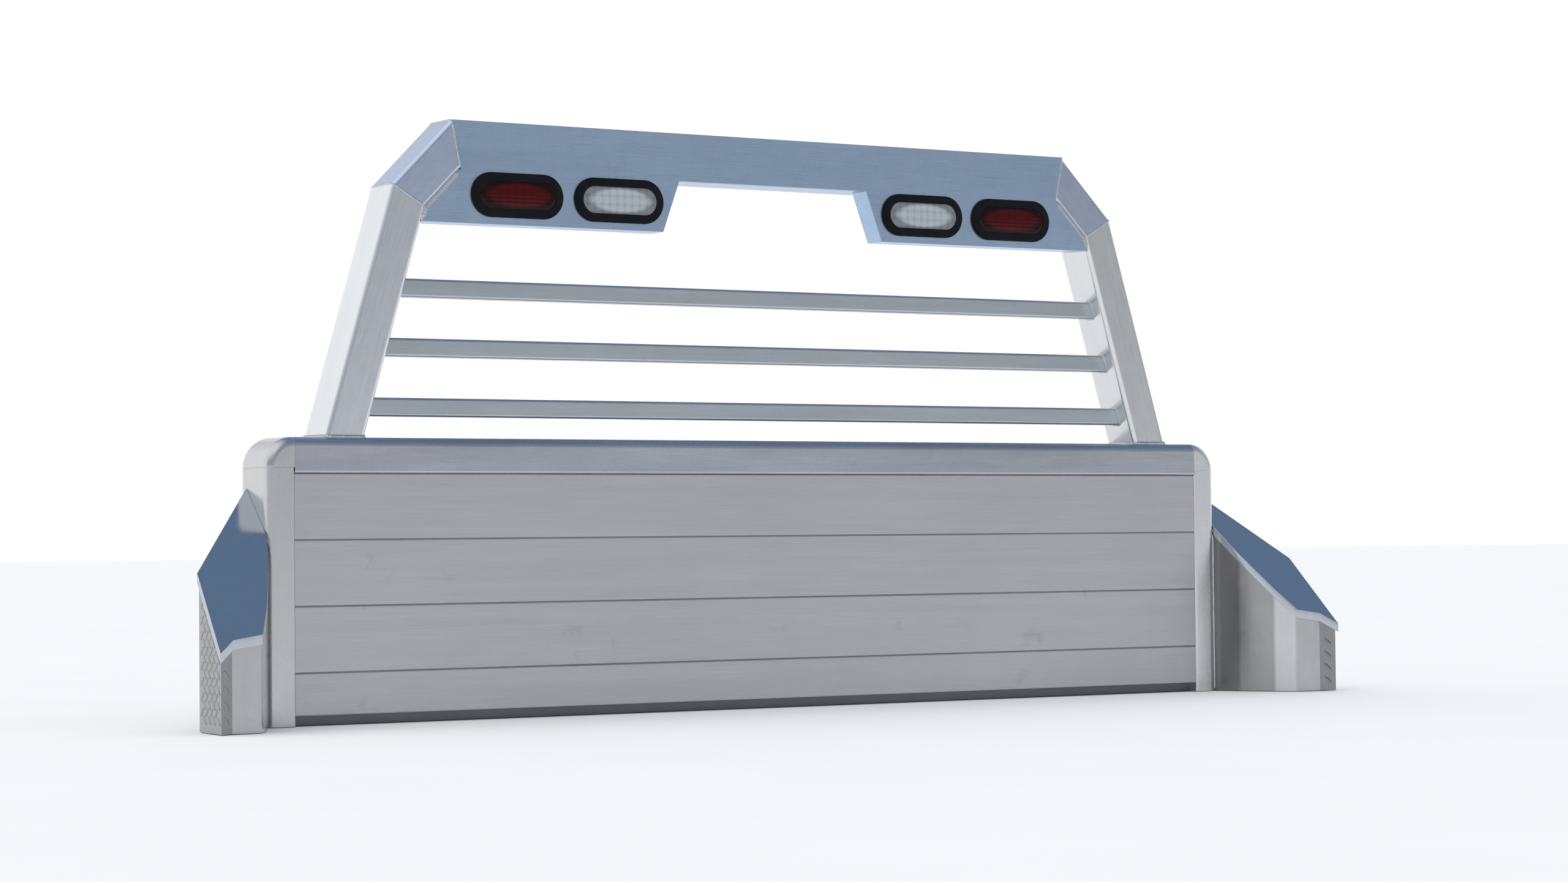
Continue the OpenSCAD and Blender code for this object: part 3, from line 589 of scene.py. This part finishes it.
def makeLens(nodeName, place):
    colour = "red" if "red" in nodeName else "clear"
    # metres in from the flange's edge, and along Y from the lens's seat
    rim = [(0.0, 0.0), (0.0, -0.0025), (0.0005, -0.003), (0.0026, -0.0031), (0.0036, -0.0033),
           (0.0046, -0.004), (0.0058, -0.0045)]
    domeEdge, domeFoot = rim[-1]
    halfHeight = lamp["height"] / 2
    narrowest = 0.0004           # half the height of the last ring
    loops = [ovalLoop(lamp["width"] - 2 * d, lamp["height"] - 2 * d, y) for d, y in rim]
    for k in range(1, lamp["domeRings"] + 1):
        inset = domeEdge + (halfHeight - domeEdge - narrowest) * k / lamp["domeRings"]
        fade = min(1.0, (k - 1) / 2.0)
        loop = []
        for x, y, z in ovalLoop(lamp["width"] - 2 * inset, lamp["height"] - 2 * inset, domeFoot):
            crown = lamp["dome"] * (1.0 - (z / halfHeight) ** 2) * (1.0 - (2.0 * x / lamp["width"]) ** 4)
            cell = abs(math.sin(math.pi * x / lamp["pillow"])) * abs(math.cos(math.pi * z / lamp["pillow"]))
            loop.append((x, y - crown - lamp["pillowDepth"] * cell * fade, z))
        loops.append(loop)
    shape = bmesh.new()
    rings = skinLoops(shape, loops)
    shape.faces.new(rings[-1])
    shape.faces.new(list(reversed(rings[0])))
    placedMesh(camel(nodeName), shape, place, colour + "Lens", [nodeName])


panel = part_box("lamp_panel")
for place in places:
    lensName = "lens_%s_%s" % ("red" if "outer" in place else "clear", place.split("_")[1])
    low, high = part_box(lensName)
    seat = ((low.x + high.x) / 2, high.y, (low.z + high.z) / 2)
    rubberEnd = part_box("grommet_%s" % place)[1].y
    depths = [(y - high.y) * 1000 for y in (panel[0].y, panel[1].y, rubberEnd)]
    makeGrommet("grommet_%s" % place, seat, *depths)
    makeLens(lensName, seat)
dressNode("cover_screws", "stainless", 0.0004)
dressNode("loom_gland", "blackPlastic", 0.0004)
print("lamps made")


# welds: rippled beads of bright metal along the joints

weld = {
    "ripple": 0.0036,                  # metres from one ripple to the next
    "depth": 0.20,                     # how deep the ripples are, as a share of the bead's radius
    "sides": 10,
    "foot": (0.0042, 0.009),           # post on rail: radius of the bead and of the corners it goes round
    "mitre": (0.0022, 0.0095),         # corner tube on post and crossmember
    "bar": (0.0028, 0.005),            # window bar on post
    "ear": (0.0085, 0.26),             # ear of the lamp panel on the frame: radius and flatness
    "studEnd": 0.0030,
    "studSide": 0.0028,
    "grain": 420.0,                    # fine ripple of the metal, per metre
    "soot": 60.0,
}


def weldMetal():
    material, tree, shader = newMaterial("weldMetal")
    ripple = noiseOn(tree, stretchedCoords(tree), weld["grain"], 4.0)
    soot = noiseOn(tree, stretchedCoords(tree), weld["soot"], 3.0)
    tone = multiplyColours(tree, blendColours(tree, ripple, (0.55, 0.56, 0.57), (0.80, 0.81, 0.82)),
                           blendColours(tree, soot, (0.80, 0.80, 0.80), (1.0, 1.0, 1.0)))
    tree.links.new(tone, shader.inputs["Base Color"])
    shader.inputs["Metallic"].default_value = 1.0
    tree.links.new(spread(tree, ripple, 0.25, 0.45), shader.inputs["Roughness"])
    bumpFrom(tree, shader, ripple, 0.25, 0.0004)
    return material


finishes["weld"] = weldMetal()


# places along a bead, four to a ripple, each with its distance from the start
def spotsAlong(points, closed):
    line = [Vector(p) for p in points]
    if closed:
        line.append(line[0])
    lengths = [0.0]
    for a, b in zip(line, line[1:]):
        lengths.append(lengths[-1] + (b - a).length)
    count = max(8, int(lengths[-1] / (weld["ripple"] / 4)))
    spots, part = [], 0
    for k in range(count + (0 if closed else 1)):
        gone = lengths[-1] * k / count
        while part < len(line) - 2 and gone > lengths[part + 1]:
            part += 1
        share = (gone - lengths[part]) / max(lengths[part + 1] - lengths[part], 1e-9)
        spots.append((line[part].lerp(line[part + 1], share), gone))
    return spots, lengths[-1]


def addBead(shape, points, radius, closed=False, flatten=1.0):
    spots, length = spotsAlong(points, closed)
    total, sides = len(spots), weld["sides"]
    askew = Vector((0.31, 0.52, 0.79))      # a direction that no bead follows
    rings = []
    for k, (spot, gone) in enumerate(spots):
        before = spots[(k - 1) % total][0] if closed or k > 0 else spot
        after = spots[(k + 1) % total][0] if closed or k < total - 1 else spot
        ahead = (after - before).normalized()
        side = ahead.cross(askew).normalized()
        other = ahead.cross(side)
        swell = 1.0 - weld["depth"] * abs(math.sin(math.pi * gone / weld["ripple"])) ** 0.7
        taper = 1.0 if closed else min(1.0, 0.35 + min(gone, length - gone) / (radius * 2))
        ring = []
        for i in range(sides):
            angle = 2.0 * math.pi * i / sides
            reach = side * math.cos(angle) + other * math.sin(angle)
            reach.y *= flatten
            ring.append(shape.verts.new(spot + reach * radius * swell * taper))
        rings.append(ring)
    for a, b in zip(rings, rings[1:]):
        joinRings(shape, a, b, 0)
    if closed:
        first, last = rings[0], rings[-1]
        shift = min(range(sides), key=lambda q: (last[0].co - first[q].co).length)
        joinRings(shape, last, first, shift)
    else:
        shape.faces.new(list(reversed(rings[0])))
        shape.faces.new(rings[-1])


def joinRings(shape, a, b, shift):
    n = len(a)
    for i in range(n):
        shape.faces.new((a[i], a[(i + 1) % n], b[(i + 1 + shift) % n], b[(i + shift) % n]))


def roundedLoop(corner, across, deep, size, radius):
    wide, tall = size           # corner to corner along the two directions
    turns = ((wide - radius, radius, -90), (wide - radius, tall - radius, 0),
             (radius, tall - radius, 90), (radius, radius, 180))
    points = []
    for cx, cy, start in turns:
        for k in range(7):
            angle = math.radians(start + 15 * k)
            x, y = cx + radius * math.cos(angle), cy + radius * math.sin(angle)
            points.append(corner + across * x + deep * y)
    return points


def layBeads(name, shape, mirrored=False):
    mesh = bpy.data.meshes.new(name)
    shape.to_mesh(mesh)
    shape.free()
    if mirrored:
        mesh.transform(Matrix.Scale(-1.0, 4, (1, 0, 0)))
        mesh.flip_normals()
    addPiece(name, mesh, "weld")


# the window frame's outline on the right side, X and Z in metres
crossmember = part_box("top_crossmember")
postSlope = math.tan(math.radians(postLean))
frameShape = {
    "footIn": post[0].x + postSlope * (corner[0].z - post[0].z),
    "footOut": post[1].x,
    "innerLow": (post[0].x, corner[0].z),
    "outerLow": (corner[1].x, post[1].z),
    "innerTop": (corner[0].x, crossmember[0].z),
    "outerTop": (crossmember[1].x, crossmember[1].z),
    "earLow": (panel[1].x, panel[0].z),
}


def frameWelds(side):
    shape = bmesh.new()
    rear, depth, railTop = post[0].y, post[1].y - post[0].y, post[0].z
    acrossX, deep = Vector((1.0, 0.0, 0.0)), Vector((0.0, 1.0, 0.0))

    def at(name, y):
        x, z = frameShape[name]
        return Vector((x, y, z))

    radius, bend = weld["foot"]
    footIn = Vector((frameShape["footIn"], rear, railTop + 0.001))
    footSize = (frameShape["footOut"] - frameShape["footIn"], depth)
    addBead(shape, roundedLoop(footIn, acrossX, deep, footSize, bend), radius, True)

    radius, bend = weld["mitre"]
    sunk = 0.0006               # how far the bead's middle lies inside the tube's faces
    for inner, outer in (("innerLow", "outerLow"), ("innerTop", "outerTop")):
        start = at(inner, rear)
        reach = at(outer, rear) - start
        along = reach.normalized()
        size = (reach.length - 2 * sunk, depth - 2 * sunk)
        addBead(shape, roundedLoop(start + (along + deep) * sunk, along, deep, size, bend), radius, True)

    radius, flatness = weld["ear"]
    seam = rear + 0.0016
    addBead(shape, [at(name, seam) for name in ("innerTop", "innerLow", "earLow")], radius, False, flatness)

    radius, bend = weld["bar"]
    up = Vector((-postSlope, 0.0, 1.0)).normalized()
    for number in range(1, 4):
        low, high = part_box("window_bar_%d" % number)
        middle = (low.z + high.z) / 2
        size = (high.y - low.y, high.z - low.z)
        x = frameShape["footIn"] - postSlope * (middle - railTop)
        start = Vector((x, low.y, middle)) - up * (size[1] / 2)
        addBead(shape, roundedLoop(start, deep, up, size, bend), radius, True)
    layBeads("frameWelds" + side.capitalize(), shape, side == "left")


# seams of the right wing on its end post: how far off the post, radius, and Y and Z of the two ends
wingSeams = {
    "liner": (0.0002, 0.0036, (-0.0425, 0.003), (-0.0425, 0.322)),
    "skin": (0.0005, 0.0032, (0.0325, 0.003), (0.0325, 0.398)),
    "cap": (0.0005, 0.0030, (0.031, 0.4025), (-0.042, 0.3275)),
}


def wingWelds(side):
    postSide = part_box("end_post_right")[1].x
    shape = bmesh.new()
    for off, radius, start, end in wingSeams.values():
        addBead(shape, [(postSide + off, *start), (postSide + off, *end)], radius)
    layBeads("wingWelds" + side.capitalize(), shape, side == "left")


def studWelds():
    shape = bmesh.new()
    for place in places:
        low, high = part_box("stud_%s" % place)
        for z in (low.z + 0.0005, high.z - 0.0005):
            face = high.y - 0.0002
            addBead(shape, [(low.x + 0.001, face, z), (high.x - 0.001, face, z)], weld["studEnd"])
            for x in (low.x - 0.0002, high.x + 0.0002):
                addBead(shape, [(x, low.y + 0.004, z), (x, high.y - 0.002, z)], weld["studSide"])
    layBeads("studWelds", shape)


for side in sides:
    frameWelds(side)
    wingWelds(side)
studWelds()
print("welds laid")


# studio: pale floor, soft overhead light, bright room ahead of the rack and a dimmer one behind

studio = {
    "floor": (0.86, 0.845, 0.825),
    "ahead": (1.0, 1.0, 1.0),          # towards the cab, +Y
    "behind": (0.38, 0.39, 0.41),      # towards the deck, -Y
    "aboveLeft": (0.95, 0.97, 1.0),    # overhead on the -X side
    "aboveRight": (0.18, 0.27, 0.40),  # overhead on the +X side
    "fadeAhead": (-0.35, 0.10),        # where each pair meets, as a share of the way along Y, Z and X
    "fadeAbove": (0.30, 0.66),
    "fadeAcross": (-0.25, 0.15),
    "sun": 1.7,                        # soft overhead light, W/m2
    "sunAngle": 120.0,
}


def makeFloor():
    mesh = bpy.data.meshes.new("floor")
    reach, level = 80.0, -0.001
    square = [(x, y, level) for x, y in ((-reach, -reach), (reach, -reach), (reach, reach), (-reach, reach))]
    mesh.from_pydata(square, [], [(0, 1, 2, 3)])
    material, tree, shader = newMaterial("floorPaint")
    tone = noiseOn(tree, stretchedCoords(tree), 2.0, 3.0)
    paint = blendColours(tree, tone, shade(studio["floor"], 0.98), studio["floor"])
    tree.links.new(paint, shader.inputs["Base Color"])
    shader.inputs["Roughness"].default_value = 0.85
    mesh.materials.append(material)
    floor = bpy.data.objects.new("floor", mesh)
    bpy.context.scene.collection.objects.link(floor)


def makeSky():
    world = bpy.data.worlds.new("studioRoom")
    world.use_nodes = True
    bpy.context.scene.world = world
    tree = world.node_tree
    coords = addNode(tree, "ShaderNodeTexCoord")
    parts = addNode(tree, "ShaderNodeSeparateXYZ")
    tree.links.new(coords.outputs["Generated"], parts.inputs["Vector"])
    ahead = spread(tree, parts.outputs["Y"], 0.0, 1.0, *studio["fadeAhead"])
    above = spread(tree, parts.outputs["Z"], 0.0, 1.0, *studio["fadeAbove"])
    across = spread(tree, parts.outputs["X"], 0.0, 1.0, *studio["fadeAcross"])
    level = mixColours(tree, ahead, (*studio["behind"], 1.0), (*studio["ahead"], 1.0))
    high = mixColours(tree, across, (*studio["aboveLeft"], 1.0), (*studio["aboveRight"], 1.0))
    tree.links.new(mixColours(tree, above, level, high), tree.nodes["Background"].inputs["Color"])


def softSun(name, aim, power, angle):
    data = bpy.data.lights.new(name, "SUN")
    data.energy = power
    data.angle = math.radians(angle)
    light = bpy.data.objects.new(name, data)
    bpy.context.scene.collection.objects.link(light)
    light.matrix_world = Vector(aim).to_track_quat("-Z", "Y").to_matrix().to_4x4()
    light.visible_glossy = False


makeFloor()
makeSky()
softSun("overheadLight", (0.15, 0.25, -1.0), studio["sun"], studio["sunAngle"])
bpy.context.scene.view_settings.view_transform = "Standard"
print("studio lit")

bpy.context.view_layer.update()
